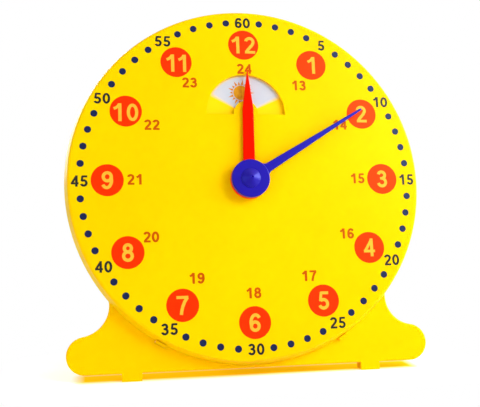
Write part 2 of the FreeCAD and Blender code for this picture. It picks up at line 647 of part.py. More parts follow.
def back_plate_holes(body):
    bore(body, f"{BUSH_RADIUS} + fitClear", WELL_FLOOR, "standWall")
    screw_hole = sketch(body, PLATE_FRONT)
    circle(screw_hole, "shellHole", "0", BOSS_CIRCLE)
    ring_of(body, pocket(body, screw_hole, "standWall + ribHeight"), "shellScrews")
    slot = sketch(body, PLATE_FRONT, turn="clipAngle")
    rectangle(slot, "0 - clipWidth / 2 - slotGap", "clipWidth / 2 + slotGap",
              "0 - faceRadius - clipThick - slotGap", "clipBarb - faceRadius")
    mirrored(body, pocket(body, slot, "standWall"))


def back_plate_lugs(body):
    """Two lugs behind the gear well that hold the leg's hinge pin."""
    lug = sketch(body, "legWidth / 2 + endClear", role="YZ_Plane")
    rectangle(lug, "0 - hingeDrop - knuckleRadius", "0 - hingeDrop + knuckleRadius",
              HINGE_BACK, f"{WELL_BACK} + standWall / 2")
    mirrored(body, pad(body, lug, "lugThick"))
    tip = sketch(body, "legWidth / 2 + endClear", role="YZ_Plane")
    circle(tip, "knuckleRadius", "0 - hingeDrop", HINGE_BACK)
    mirrored(body, pad(body, tip, "lugThick"))
    hole = sketch(body, "legWidth / 2 + endClear", role="YZ_Plane")
    circle(hole, "hingePin + fitClear", "0 - hingeDrop", HINGE_BACK)
    mirrored(body, pocket(body, hole, "lugThick", up=True))


def back_plate_feet(body):
    """Two feet whose soles lie flat on the ground when the dial leans back."""
    foot = sketch(body, "footX - footWidth / 2", role="YZ_Plane")
    top = f"standWall / 2 - {BASE_DROP}"
    front = f"edgeRound - {BASE_DROP}"
    polygon(foot, [(top, f"{PLATE_FRONT} - edgeRound"), (top, STAND_BACK),
                   (f"standDepth * tan(leanAngle) - {FOOT_REACH}", STAND_BACK),
                   (f"0 - {FOOT_REACH}", PLATE_FRONT),
                   (front, PLATE_FRONT), (front, f"{PLATE_FRONT} - edgeRound")])
    mirrored(body, pad(body, foot, "footWidth"))


# --- Shaft, bush, washers and screws -----------------------------------------------------------

def draw_d(drawing, radius, flat):
    """A circle with one flat, towards +y."""
    size, cut = number(radius), number(flat)
    half = (size ** 2 - cut ** 2) ** 0.5
    left, right = FreeCAD.Vector(-half, cut, 0), FreeCAD.Vector(half, cut, 0)
    round_side = drawing.addGeometry(arc(FreeCAD.Vector(0, 0, 0), size, left, right), False)
    flat_side = drawing.addGeometry(Part.LineSegment(right, left), False)
    drawing.addConstraint(Sketcher.Constraint("Coincident", round_side, 3, -1, 1))
    constrain(drawing, "Radius", round_side, radius)
    drawing.addConstraint(Sketcher.Constraint("Coincident", round_side, 2, flat_side, 1))
    drawing.addConstraint(Sketcher.Constraint("Coincident", round_side, 1, flat_side, 2))
    drawing.addConstraint(Sketcher.Constraint("Horizontal", flat_side))
    constrain(drawing, "DistanceY", -1, 1, flat_side, 1, flat)


def minute_arbor():
    """Round where it turns, with a flat at each end for the knob and the hand."""
    body = new_body("minute_arbor", turn="0 - minuteTurn")
    post(body, "arborRadius", KNOB_FRONT, MINUTE_SEAT)
    for low, high in ((ARBOR_BACK, KNOB_FRONT), (MINUTE_SEAT, f"{MINUTE_TOP} - arborEnd")):
        end = sketch(body, low)
        draw_d(end, "arborRadius", "arborFlat")
        pad(body, end, f"({high}) - ({low})")
    bore(body, "boreHole", f"{MINUTE_TOP} - arborEnd", "spigotLength + endClear")
    rear = sketch(body, ARBOR_BACK)
    circle(rear, "boreHole")
    pocket(body, rear, "shankLength + endClear", up=True)


def arbor_bush():
    body = new_body("arbor_bush")
    wide = f"{BUSH_RADIUS} + bushFlange"
    turned(body, [("arborRadius + runClear", BUSH_BACK), (wide, BUSH_BACK), (wide, WELL_BACK),
                  (BUSH_RADIUS, WELL_BACK), (BUSH_RADIUS, WELL_FLOOR),
                  ("arborRadius + runClear", WELL_FLOOR)])


def washer(label, inner, outer, back, thick, y="0"):
    body = new_body(label, y=y)
    turned(body, [(inner, back), (outer, back), (outer, f"{back} + {thick}"), (inner, f"{back} + {thick}")])


def screw(label, seat, head_up, y="0"):
    """A pan-head screw whose head stands on the seat, towards +z or -z."""
    body = new_body(label, y=y)
    way = "+" if head_up else "-"
    back = "-" if head_up else "+"
    top = f"{seat} {way} headThick"
    turned(body, [("0", top), ("headRadius", top), ("headRadius", seat), ("shankRadius", seat),
                  ("shankRadius", f"{seat} {back} shankLength"), ("0", f"{seat} {back} shankLength")])


def fasteners():
    washer("friction_washer", "arborRadius + runClear", f"{BUSH_RADIUS} + bushFlange",
           f"{BUSH_BACK} - waveGap - waveThick", "waveThick")
    disc_top = f"({DISC_FRONT} + endClear)"
    inter_top = f"({HOUR_FRONT} + meshOverlap + endClear)"
    washer("disc_washer", "shankRadius + runClear", "discPin + washerRim", disc_top, "washerThick", DISC_Y)
    washer("intermediate_washer", "shankRadius + runClear", "interPin + washerRim", inter_top,
           "washerThick", INTER_Y)
    screw("disc_screw", f"{disc_top} + washerThick", True, DISC_Y)
    screw("intermediate_screw", f"{inter_top} + washerThick", True, INTER_Y)
    screw("knob_screw", KNOB_WEB, False)


def shell_screws():
    """Six self-tapping screws, put in from the back."""
    one = doc.addObject("PartDesign::Body", "shell_screw")
    top = f"{PLATE_BACK} - shellHeadThick"
    tip = f"{PLATE_BACK} + shellShank"
    turned(one, [("0", top), ("shellHead", top), ("shellHead", PLATE_BACK), ("shankRadius", PLATE_BACK),
                 ("shankRadius", tip), ("0", tip)])
    copies = []
    for index in range(int(number("shellScrews"))):
        copy = doc.addObject("App::Link", f"shell_screw_{index + 1}")
        copy.LinkedObject = one
        angle = f"({index} * 360 / shellScrews)"
        copy.setExpression("Placement", bound(
            f"create(<<placement>>; create(<<vector>>; 0 - {BOSS_CIRCLE} * sin{angle};"
            f" {BOSS_CIRCLE} * cos{angle}; 0); create(<<rotation>>; create(<<vector>>; 0; 0; 1); 0))"))
        copies.append(copy)
    group = doc.addObject("Part::Compound", "shell_screws")
    group.Label = "shell_screws"
    group.Links = copies
    place(group)
    parts.append(group)


# --- Hands and knob ----------------------------------------------------------------------------

def hand(label, turn, seat, hub_height, corners, root_fillet, cut_bore):
    """A flat pointed blade that flows into a round, thicker hub."""
    body = new_body(label, turn=turn)
    blade = sketch(body, seat)
    polygon(blade, corners)
    pad(body, blade, "bladeThick")
    post(body, "hubRadius", seat, f"{seat} + bladeThick")
    blade_level, hub_level = number(f"{seat} + bladeThick"), number(f"{seat} + {hub_height}")
    root = number("hubRadius")

    def blade_root(edge):
        low, high = edge_heights(edge)
        return high - low > 1 and edge.BoundBox.YMin > root / 2 and edge.BoundBox.YMax < root

    fillet_edges(body, root_fillet, blade_root)
    bevel_edges(body, "bladeBevel", lambda edge: edge.BoundBox.ZMin > blade_level - 1e-3)
    post(body, "hubRadius", seat, f"{seat} + {hub_height}")
    bevel_edges(body, "bladeBevel", lambda edge: edge.BoundBox.ZMin > hub_level - 1e-3)
    cut_bore(body)


def hour_hand():
    corners = [("0 - hourRoot", "0"), ("hourRoot", "0"), ("hourShoulder", "hourPoint"),
               ("0", "hourLength"), ("0 - hourShoulder", "hourPoint")]

    def cut_bore(body):
        bore(body, f"{PIPE_RADIUS} + fitClear", "hourGap + hourHub", "hourHub")

    hand("hour_hand", "0 - hourTurn", "hourGap", "hourHub", corners, "hourFillet", cut_bore)


def minute_hand():
    corners = [("0 - minuteRoot", "0"), ("minuteRoot", "0"), ("minuteTip", "minuteLength"),
               ("0 - minuteTip", "minuteLength")]

    def cut_bore(body):
        seat = sketch(body, MINUTE_TOP)
        draw_d(seat, "arborRadius + fitClear", "arborFlat + fitClear")
        pocket(body, seat, "minuteHub")

    hand("minute_hand", "0 - minuteTurn", MINUTE_SEAT, "minuteHub", corners, "minuteFillet", cut_bore)


def hub_cap():
    body = new_body("hub_cap")
    nose = f"{MINUTE_TOP} + capHeight"
    spigot = "boreHole - fitClear"
    turned(body, [("0", f"{MINUTE_TOP} - spigotLength"), (spigot, f"{MINUTE_TOP} - spigotLength"),
                  (spigot, MINUTE_TOP), ("capRadius", MINUTE_TOP), ("capRadius", f"{MINUTE_TOP} + capLip"),
                  ("capNose", nose), ("dimpleRadius", nose), ("0", f"{nose} - dimpleDepth")])


def setting_knob():
    body = new_body("setting_knob", turn="0 - minuteTurn")
    post(body, "knobRadius", KNOB_BACK, GRIP_FRONT)
    hollow = sketch(body, GRIP_FRONT)
    circle(hollow, "knobRadius - knobScallop - knobWall")
    pocket(body, hollow, "knobHollow")
    post(body, "knobHub", f"{GRIP_FRONT} - knobHollow", KNOB_FRONT)
    scallop = sketch(body, GRIP_FRONT)
    circle(scallop, "knobScallop", "0", "knobRadius + knobScallop / 2")
    ring_of(body, pocket(body, scallop, "knobGrip"), "knobScallops")
    seat = sketch(body, KNOB_FRONT)
    draw_d(seat, "arborRadius + fitClear", "arborFlat + fitClear")
    pocket(body, seat, f"{KNOB_FRONT} - {ARBOR_BACK}")
    bore(body, "shankRadius + runClear", ARBOR_BACK, "knobWeb + knobRecess")
    recess = sketch(body, KNOB_BACK)
    circle(recess, "headRadius + knobRoom")
    pocket(body, recess, "knobRecess", up=True)


# --- Easel leg ---------------------------------------------------------------------------------

def easel_leg():
    """A ribbed plate on a hinge, with a bar for a toe. Drawn folded, about its hinge."""
    body = doc.addObject("PartDesign::Body", "easel_leg")
    body.Label = "easel_leg"
    body.setExpression("Placement", bound(
        f"Dial.Placement * create(<<placement>>; create(<<vector>>; 0; 0 - hingeDrop; {HINGE_BACK});"
        " create(<<rotation>>; create(<<vector>>; 1; 0; 0); legOpen))"))
    parts.append(body)
    half_top, half_toe = "legWidth / 2", "toeWidth / 2"
    outer_face = "(legInset - knuckleRadius)"

    plate = sketch(body, outer_face)
    shoulder = "0 - 1.5 * knuckleRadius"
    polygon(plate, [(f"0 - {half_top}", "0"), (f"0 - {half_top}", shoulder),
                    (f"0 - {half_toe}", f"0 - {LEG_LENGTH}"), (half_toe, f"0 - {LEG_LENGTH}"),
                    (half_top, shoulder), (half_top, "0")])
    pad(body, plate, "legRib")
    tray = sketch(body, f"{outer_face} + legRib")
    polygon(tray, [(f"legThick - {half_top}", "0 - 2 * knuckleRadius"),
                   (f"legThick - {half_toe}", f"toeRadius - {LEG_LENGTH}"),
                   (f"{half_toe} - legThick", f"toeRadius - {LEG_LENGTH}"),
                   (f"{half_top} - legThick", "0 - 2 * knuckleRadius")])
    pocket(body, tray, "legRib - legThick")
    spine = sketch(body, f"{outer_face} + legThick")
    rectangle(spine, "0 - ribThick / 2", "ribThick / 2", f"0 - {LEG_LENGTH}", "0 - knuckleRadius")
    pad(body, spine, "legRib - legThick")

    knuckle = sketch(body, f"0 - {half_top}", role="YZ_Plane")
    circle(knuckle, "knuckleRadius")
    pad(body, knuckle, "legWidth")
    toe = sketch(body, f"0 - {half_toe}", role="YZ_Plane")
    circle(toe, "toeRadius", f"0 - {LEG_LENGTH}", "0 - toeBack")
    pad(body, toe, "toeWidth")

    # The heel touches the back of the gear well when the leg is open.
    heel = sketch(body, "0 - heelWidth / 2", role="YZ_Plane")
    reach = "((hingeBack - stopClear - heelTo * sin(legOpen)) / cos(legOpen))"
    rectangle(heel, "heelFrom", "heelTo", "0 - legThick", reach)
    pad(body, heel, "heelWidth")
    pin_hole = sketch(body, f"0 - {half_top}", role="YZ_Plane")
    circle(pin_hole, "hingePin + runClear")
    pocket(body, pin_hole, "legWidth", up=True)


def hinge_pin():
    """Steel pin with a head at one end and a push-on clip at the other."""
    reach = "(legWidth / 2 + endClear + lugThick)"
    head, tip = f"0 - {reach} - pinHeadThick", f"{reach} + 1.5 * pinHeadThick"
    on_hinge("hinge_pin", [("0", head), ("pinHead", head), ("pinHead", f"0 - {reach}"),
                           ("hingePin", f"0 - {reach}"), ("hingePin", tip), ("0", tip)])
    bore_radius, outside = "hingePin + fitClear", f"{reach} + pinHeadThick"
    on_hinge("pin_clip", [(bore_radius, reach), ("pinHead", reach), ("pinHead", outside),
                          (bore_radius, outside)])


def on_hinge(label, profile):
    """A turned piece about the hinge's axis."""
    body = doc.addObject("PartDesign::Body", label)
    body.Label = label
    body.setExpression("Placement", bound(
        f"Dial.Placement * create(<<placement>>; create(<<vector>>; 0; 0 - hingeDrop; {HINGE_BACK});"
        " create(<<rotation>>; create(<<vector>>; 0; 1; 0); 90))"))
    parts.append(body)
    turned(body, profile)


def build():
    dial = doc.addObject("App::Placement", "Dial")
    dial.setExpression("Placement", bound(
        f"create(<<placement>>; create(<<vector>>; 0; ({FORE} - {AFT}) / 2; {DIAL_UP});"
        " create(<<rotation>>; create(<<vector>>; 1; 0; 0); 90 - leanAngle))"))
    face_plate()
    back_plate()
    shell_screws()
    minute_pinion()
    intermediate_gear()
    hour_gear()
    hour_pinion()
    day_night_wheel()
    minute_arbor()
    arbor_bush()
    fasteners()
    hour_hand()
    minute_hand()
    hub_cap()
    setting_knob()
    easel_leg()
    hinge_pin()
    doc.recompute()


def check_and_write():
    """Every object is up to date and every sub-part is a good solid before anything is written."""
    for item in doc.Objects:
        if "Invalid" in item.State or "Error" in item.State:
            raise RuntimeError(f"{item.Label} failed: {item.State}")
    for part in parts:
        if part.Shape.isNull() or not part.Shape.isValid() or not part.Shape.Solids:
            raise RuntimeError(f"{part.Label} has no valid solid")
    os.makedirs("parts", exist_ok=True)
    for part in parts:
        part.Shape.exportStep(f"parts/{part.Label}.step")
        print(part.Label, len(part.Shape.Solids), "solids", round(part.Shape.Volume), "mm3")


build()
check_and_write()
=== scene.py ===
import json
import math

import bmesh
import bpy
from mathutils import Matrix, Vector


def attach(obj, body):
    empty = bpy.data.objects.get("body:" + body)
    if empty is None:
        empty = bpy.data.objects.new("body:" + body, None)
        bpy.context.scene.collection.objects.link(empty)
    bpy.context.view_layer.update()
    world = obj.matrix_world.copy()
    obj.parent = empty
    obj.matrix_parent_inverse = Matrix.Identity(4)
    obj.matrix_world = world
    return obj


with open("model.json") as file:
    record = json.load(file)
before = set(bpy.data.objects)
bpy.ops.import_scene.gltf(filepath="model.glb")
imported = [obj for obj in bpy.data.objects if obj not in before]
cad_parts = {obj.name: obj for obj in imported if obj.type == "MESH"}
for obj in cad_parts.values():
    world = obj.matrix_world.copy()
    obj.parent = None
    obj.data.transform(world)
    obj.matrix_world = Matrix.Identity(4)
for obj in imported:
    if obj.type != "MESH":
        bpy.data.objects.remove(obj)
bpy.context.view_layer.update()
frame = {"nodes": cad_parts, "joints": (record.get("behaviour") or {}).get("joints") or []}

# Looks of a geared teaching clock: plastics, printed dial, day/night print, studio, camera.
# Print is drawn in the dial's own axes (x right, y up the dial, z out of it), in metres.

MM = 0.001
joints = {joint["name"]: joint for joint in frame["joints"]}
HUB = Vector(joints["minute_turn"]["pos_m"])
NORMAL = -Vector(joints["minute_turn"]["axis"]).normalized()
ACROSS = Vector((1, 0, 0))
UP_DIAL = NORMAL.cross(ACROSS)
DIAL = Matrix.Translation(HUB) @ Matrix((ACROSS, UP_DIAL, NORMAL)).transposed().to_4x4()
DISC_UP = (Vector(joints["day_night_turn"]["pos_m"]) - HUB).dot(UP_DIAL)

# Print on the dial: rings, and each kind of numeral by height, stroke, step and stretch.
# Stroke and step are shares of the height. The number discs lie on a slightly tall ellipse, and a
# lift is how far the middle of a ring lies above the hub.
MINUTE_RING = 139 * MM
DOT_RADIUS = 2.9 * MM
NUMBER_WIDE, NUMBER_TALL, NUMBER_LIFT = 116.8 * MM, 118.3 * MM, 0.6 * MM
NUMBER_DISC = 13.2 * MM
AFTERNOON_RING, AFTERNOON_LIFT = 95.0 * MM, 1.2 * MM
NUMERALS = {
    "minute": (9.2 * MM, 0.200, 0.76, 1.04),
    "hour": (15.2 * MM, 0.170, 0.78, 1.00),
    "afternoon": (8.7 * MM, 0.205, 0.75, 1.05),
}

# Where the photograph's print leaves its even places, across and up the dial: a number disc with
# its digits, and an afternoon numeral. HOUR_DROP lowers the digits alone inside their disc, and the
# two digits of 11 have a shorter step.
HOUR_SHIFT = {
    1: (1.0 * MM, -1.0 * MM),
    2: (1.0 * MM, -1.3 * MM),
    10: (0, -1.0 * MM),
    11: (0, -0.9 * MM),
}
AFTERNOON_SHIFT = {
    19: (1.3 * MM, 0.5 * MM),
    22: (2.4 * MM, -1.4 * MM),
    23: (0, 0.9 * MM),
    24: (0, 1.3 * MM),
}
HOUR_DROP = {10: 1.0 * MM, 11: 0.9 * MM}
DOUBLE_ONE_STEP = 0.66

# Ink starts just under its surface and ends just above it. The round dots, number discs, sun and
# sky are polygons with these numbers of sides.
INK_SINK = 0.05 * MM
INK_RISE = 0.06 * MM
DOT_SIDES, DISC_SIDES, SUN_SIDES, SKY_SIDES = 32, 72, 48, 120

# Print on the day/night disc's raised face, about the disc's axis. SKY_FRONT is where that face
# lies, behind the front of the dial. The sky fades out over SKY_EDGE. The day sector's middle and
# half width and the blur of its edges are in degrees. The night sector lies opposite.
SKY_INNER = 8.4 * MM
SKY_OUTER = 36.8 * MM
SKY_FRONT = -3.3 * MM
SKY_EDGE = (32.0 * MM, 34.6 * MM)
DAY_MIDDLE, DAY_HALF, SKY_BLUR = 88.5, 61.5, 7
SUN_AT = (-3.2 * MM, 18.6 * MM)
SUN_RADIUS = 6.6 * MM
SUN_RAYS = 18
RAY_NEAR, RAY_FAR, RAY_SHORT = 7.2 * MM, 11.8 * MM, 10.0 * MM
RAY_HALF = 1.1 * MM
MOON_AT = (5 * MM, -20 * MM)
MOON_RADIUS = 7 * MM

# The crescent's hollow (offset and radius, as shares of the moon's radius), and the stars by place
# and radius in millimetres, with the depth of the notches between their tips.
HOLLOW_OFFSET, HOLLOW_SIZE = 0.62, 0.77
STARS = [(-14, -17, 2.6), (-8, -26, 1.9), (-19, -24, 1.6), (17, -15, 1.7), (15, -26, 2.3), (-4, -14, 1.4)]
STAR_TIPS, STAR_NOTCH = 5, 0.42

# Sheets at the back of the two clip slots, there only as painted shade in the play outside each clip,
# about the hub: angle from the bottom of the dial, half length, inner and outer edge, back face and
# thickness. They stay 0.02 mm clear of the clip and of the slot's edges.
CLIP_ANGLE = 30
SHEET_HALF = 4.78 * MM
SHEET_NEAR, SHEET_FAR = -153.32 * MM, -153.58 * MM
SHEET_BACK, SHEET_THICK = -13.2 * MM, 0.8 * MM

# Plastics and inks: depth of their fine relief, the radius at which moulded edges look rounded, how
# deep light enters the glowing yellow plastic and how much of that each colour keeps.
PEEL_RELIEF, INK_RELIEF, STEEL_RELIEF = 0.05 * MM, 0.03 * MM, 0.02 * MM
EDGE_SOFTNESS = 0.3 * MM
GLOW_DEPTH, GLOW_REACH = 5 * MM, (1.0, 0.35, 0.02)
DISC_YELLOW = (0.99, 0.64, 0.0)

# Floor, in metres: the rectangles under the clock and under the stand plate's lower edge (middle
# and half size), and how far outside each one its tone fades. The warm tones under the stand are
# painted shadow and painted bounce light from the yellow plastic. The lift is painted light for the
# camera alone, which pales the shadow.
FLOOR_HALF = 6
UNDER_CLOCK = ((0, 0, 0), (0.151, 0.043, 1.0))
UNDER_STAND = ((0, -0.0185, 0), (0.136, 0.0090, 1.0))
SHADOW_FADE = (0.004, 0.055)
STAND_FADE = (0.0, 0.011)
FLOOR_WHITE, FLOOR_PAINTED_BOUNCE = (0.93, 0.93, 0.93), (0.93, 0.56, 0.01)
LIFT_PALE, LIFT_PAINTED_BOUNCE = (1.0, 0.94, 0.80), (0.80, 0.50, 0.0)
SHADOW_LIFT = 0.45

# Lamps, by place from the hub (across, up the dial, out of it), side and radiance, where 1 is
# white. "glare" stands where the print at the upper right mirrors it to the camera, "graze" lights
# the dial at a low angle from the right, and "back" is for the views from behind.
WORLD_LEVEL = 0.46
LAMPS = {
    "key": ((0.58, 0.22, 0.52), 0.35, 7),
    "glare": ((0.60, 0.50, 0.95), 0.4, 9),
    "graze": ((0.90, 0.32, 0.18), 0.6, 7),
    "fill": ((-0.65, -0.06, 0.50), 0.6, 1.5),
    "back": ((-0.35, 0.45, -0.85), 0.5, 4),
}

# Camera of the studio view: place in metres, heading to the right, tilt and roll in degrees, and
# lens and sensor width in millimetres.
CAMERA_AT = (-0.1198, -0.6393, 0.1426)
CAMERA_HEADING = 10.2
CAMERA_TILT = -0.22
CAMERA_ROLL = 0.55
CAMERA_LENS, CAMERA_SENSOR = 56.8, 36


# --- Node helpers ------------------------------------------------------------------------------

def new_material(name):
    """A node material, with its tree and its main shader."""
    material = bpy.data.materials.new(name)
    material.use_nodes = True
    tree = material.node_tree
    return material, tree, tree.nodes["Principled BSDF"]


def node(tree, kind, **settings):
    """A shader node, with its inputs or properties set by name."""
    made = tree.nodes.new("ShaderNode" + kind)
    for name, value in settings.items():
        if name in made.inputs:
            made.inputs[name].default_value = value
        else:
            setattr(made, name, value)
    return made


def noise(tree, scale, detail=2.0, stretch=None):
    """A noise value over the piece's own coordinates, in features per metre."""
    spot = node(tree, "TexCoord")
    source = spot.outputs["Object"]
    if stretch:
        mapping = node(tree, "Mapping")
        mapping.inputs["Scale"].default_value = stretch
        tree.links.new(source, mapping.inputs["Vector"])
        source = mapping.outputs["Vector"]
    texture = node(tree, "TexNoise", Scale=scale, Detail=detail)
    tree.links.new(source, texture.inputs["Vector"])
    return texture.outputs["Fac"]


def ramp(tree, value, low, high, to_low, to_high):
    """The value from low to high mapped onto to_low to to_high."""
    mapped = node(tree, "MapRange")
    for name, number in (("From Min", low), ("From Max", high), ("To Min", to_low), ("To Max", to_high)):
        mapped.inputs[name].default_value = number
    tree.links.new(value, mapped.inputs["Value"])
    return mapped.outputs["Result"]


def mix_colour(tree, factor, first, second):
    """Mix two colours, or colour outputs, by a value."""
    mixed = node(tree, "Mix", data_type="RGBA")
    colours = [socket for socket in mixed.inputs if socket.type == "RGBA"]
    for socket, colour in zip(colours, (first, second)):
        if isinstance(colour, tuple):
            socket.default_value = (*colour, 1)
        else:
            tree.links.new(colour, socket)
    tree.links.new(factor, next(s for s in mixed.inputs if s.type == "VALUE" and s.enabled))
    return next(s for s in mixed.outputs if s.type == "RGBA")


def bump(tree, shader, height, strength, distance, rounding=0.0):
    """Fine relief, over edges that look rounded by the given radius."""
    made = node(tree, "Bump", Strength=strength, Distance=distance)
    tree.links.new(height, made.inputs["Height"])
    if rounding:
        soft_edge = node(tree, "Bevel", samples=4, Radius=rounding)
        tree.links.new(soft_edge.outputs["Normal"], made.inputs["Normal"])
    tree.links.new(made.outputs["Normal"], shader.inputs["Normal"])


# --- Materials -----------------------------------------------------------------------------------

def moulded_plastic(name, colour, shade, rough, specular=0.3, gloss=(1, 1, 1), glow=0.0, grain=700):
    """Moulded plastic: orange peel, slow colour drift, faint handling scratches, softened edges."""
    material, tree, shader = new_material(name)
    drift = ramp(tree, noise(tree, 9, 3), 0.35, 0.65, 0, 1)
    tree.links.new(mix_colour(tree, drift, colour, shade), shader.inputs["Base Color"])
    scratches = noise(tree, 45, 5, stretch=(1, 9, 5))
    polish = ramp(tree, scratches, 0.4, 0.7, rough - 0.02, rough + 0.03)
    tree.links.new(polish, shader.inputs["Roughness"])
    shader.inputs["Specular IOR Level"].default_value = specular
    shader.inputs["Specular Tint"].default_value = (*gloss, 1)
    if glow:
        shader.inputs["Subsurface Weight"].default_value = glow
        shader.inputs["Subsurface Radius"].default_value = GLOW_REACH
        shader.inputs["Subsurface Scale"].default_value = GLOW_DEPTH
    bump(tree, shader, noise(tree, grain, 2), 0.12, PEEL_RELIEF, EDGE_SOFTNESS)
    return material


def ink(name, colour, shade, rough=0.38, specular=0.2, gloss=(1, 1, 1)):
    """Printed ink: slightly uneven cover and a little gloss."""
    material, tree, shader = new_material(name)
    cover = ramp(tree, noise(tree, 260, 3), 0.35, 0.7, 0, 1)
    tree.links.new(mix_colour(tree, cover, colour, shade), shader.inputs["Base Color"])
    polish = ramp(tree, noise(tree, 500, 2), 0.3, 0.7, rough, rough + 0.08)
    tree.links.new(polish, shader.inputs["Roughness"])
    shader.inputs["Specular IOR Level"].default_value = specular
    shader.inputs["Specular Tint"].default_value = (*gloss, 1)
    bump(tree, shader, noise(tree, 900, 2), 0.1, INK_RELIEF)
    return material


def plated_steel(name):
    """Zinc-plated steel with a fine turned grain."""
    material, tree, shader = new_material(name)
    zinc = mix_colour(tree, noise(tree, 150, 3), (0.55, 0.56, 0.58), (0.68, 0.67, 0.62))
    tree.links.new(zinc, shader.inputs["Base Color"])
    grain = noise(tree, 2500, 2, stretch=(1, 1, 0.1))
    tree.links.new(ramp(tree, grain, 0.3, 0.7, 0.24, 0.4), shader.inputs["Roughness"])
    shader.inputs["Metallic"].default_value = 1.0
    bump(tree, shader, grain, 0.15, STEEL_RELIEF)
    return material


def sky_print(name):
    """Yellow disc with a pale sky sector and, opposite it, a deep blue night sector."""
    material, tree, shader = new_material(name)
    spot = node(tree, "TexCoord")
    split = node(tree, "SeparateXYZ")
    tree.links.new(spot.outputs["Object"], split.inputs["Vector"])
    angle = node(tree, "Math", operation="ARCTAN2")
    tree.links.new(split.outputs["Y"], angle.inputs[0])
    tree.links.new(split.outputs["X"], angle.inputs[1])
    reach = node(tree, "VectorMath", operation="LENGTH")
    tree.links.new(spot.outputs["Object"], reach.inputs[0])
    inside = ramp(tree, reach.outputs["Value"], *SKY_EDGE, 1, 0)

    def sector(middle, half):
        """1 inside the printed sector, falling softly to 0 at its edges."""
        off = node(tree, "Math", operation="SUBTRACT")
        tree.links.new(angle.outputs[0], off.inputs[0])
        off.inputs[1].default_value = math.radians(middle)
        size = node(tree, "Math", operation="ABSOLUTE")
        tree.links.new(off.outputs[0], size.inputs[0])
        within = ramp(tree, size.outputs[0], math.radians(half - SKY_BLUR / 2),
                      math.radians(half + SKY_BLUR / 2), 1, 0)
        printed = node(tree, "Math", operation="MULTIPLY")
        tree.links.new(within, printed.inputs[0])
        tree.links.new(inside, printed.inputs[1])
        return printed.outputs[0]

    haze = ramp(tree, noise(tree, 45, 2), 0.35, 0.65, 0, 1)
    day = mix_colour(tree, haze, (0.47, 0.53, 0.62), (0.55, 0.57, 0.63))
    night = mix_colour(tree, haze, (0.010, 0.018, 0.16), (0.02, 0.04, 0.30))
    lit = mix_colour(tree, sector(DAY_MIDDLE, DAY_HALF), DISC_YELLOW, day)
    both = mix_colour(tree, sector(DAY_MIDDLE - 180, DAY_HALF), lit, night)
    tree.links.new(both, shader.inputs["Base Color"])
    tree.links.new(ramp(tree, noise(tree, 400, 2), 0.3, 0.7, 0.42, 0.52), shader.inputs["Roughness"])
    shader.inputs["Specular IOR Level"].default_value = 0.1
    shader.inputs["Specular Tint"].default_value = (1.0, 0.9, 0.6, 1)
    bump(tree, shader, noise(tree, 800, 2), 0.1, INK_RELIEF)
    return material


yellow = moulded_plastic("yellow_plastic", (1.0, 0.59, 0.0), (0.99, 0.56, 0.0), 0.36, 0.2,
                         gloss=(1.0, 0.80, 0.03), glow=0.5)
knob_yellow = moulded_plastic("knob_plastic", (1.0, 0.63, 0.0), (0.98, 0.60, 0.0), 0.42, 0.25,
                              gloss=(1.0, 0.80, 0.15), grain=1200)
red = moulded_plastic("red_plastic", (0.97, 0.006, 0.0), (0.90, 0.004, 0.0), 0.34, 0.15,
                      gloss=(1.0, 0.10, 0.02))
blue = moulded_plastic("blue_plastic", (0.012, 0.001, 0.28), (0.009, 0.001, 0.24), 0.33, 0.7,
                       gloss=(0.12, 0.20, 1.0))
acetal = moulded_plastic("acetal", (0.83, 0.82, 0.77), (0.79, 0.78, 0.72), 0.42, 0.45, grain=1500)
disc_yellow = moulded_plastic("disc_plastic", DISC_YELLOW, (0.96, 0.60, 0.0), 0.4, 0.2,
                              gloss=(1.0, 0.80, 0.15))
steel = plated_steel("plated_steel")
navy_ink = ink("navy_ink", (0.002, 0.002, 0.040), (0.003, 0.004, 0.055),
               specular=0.3, gloss=(0.5, 0.8, 1.0))
black_ink = ink("black_ink", (0.006, 0.005, 0.005), (0.010, 0.008, 0.008),
                specular=0.28, gloss=(0.8, 0.9, 0.8))
disc_ink = ink("number_disc_ink", (0.86, 0.016, 0.0), (0.80, 0.012, 0.0),
               specular=0.5, gloss=(1.0, 0.55, 0.06))
digit_ink = ink("digit_ink", (0.92, 0.43, 0.03), (0.88, 0.38, 0.025), 0.4,
                specular=0.4, gloss=(1.0, 0.8, 0.2))
afternoon_ink = ink("afternoon_ink", (0.52, 0.052, 0.0), (0.46, 0.040, 0.0),
                    specular=0.4, gloss=(1.0, 0.9, 0.1))
sun_ink = ink("sun_ink", (0.66, 0.24, 0.006), (0.55, 0.17, 0.004), 0.4, gloss=(1.0, 0.8, 0.3))
sun_core_ink = ink("sun_core_ink", (0.68, 0.32, 0.012), (0.52, 0.20, 0.006), 0.4,
                   gloss=(1.0, 0.8, 0.3))
star_ink = ink("star_ink", (0.95, 0.90, 0.55), (0.92, 0.85, 0.45), 0.4)
sky = sky_print("sky_print_ink")

NODE_MATERIALS = {
    yellow: ("face_plate", "back_plate", "easel_leg"),
    knob_yellow: ("setting_knob",),
    red: ("hour_hand",),
    blue: ("minute_hand", "hub_cap"),
    acetal: ("minute_pinion", "intermediate_gear", "hour_gear", "hour_pinion", "arbor_bush"),
    disc_yellow: ("day_night_wheel",),
    steel: ("minute_arbor", "friction_washer", "disc_washer", "intermediate_washer", "disc_screw",
            "intermediate_screw", "knob_screw", "shell_screws", "hinge_pin", "pin_clip"),
}
for material, names in NODE_MATERIALS.items():
    for name in names:
        cad = frame["nodes"][name]
        cad.data.materials.clear()
        cad.data.materials.append(material)


# --- Flat print as thin meshes -------------------------------------------------------------------

def add_prism(bm, outline, low, high):
    """A thin prism over a polygon."""
    base = [bm.verts.new((x, y, low)) for x, y in outline]
    top = [bm.verts.new((x, y, high)) for x, y in outline]
    bm.faces.new(top)
    bm.faces.new(list(reversed(base)))
    for i, vertex in enumerate(base):
        j = (i + 1) % len(base)
        bm.faces.new((vertex, base[j], top[j], top[i]))


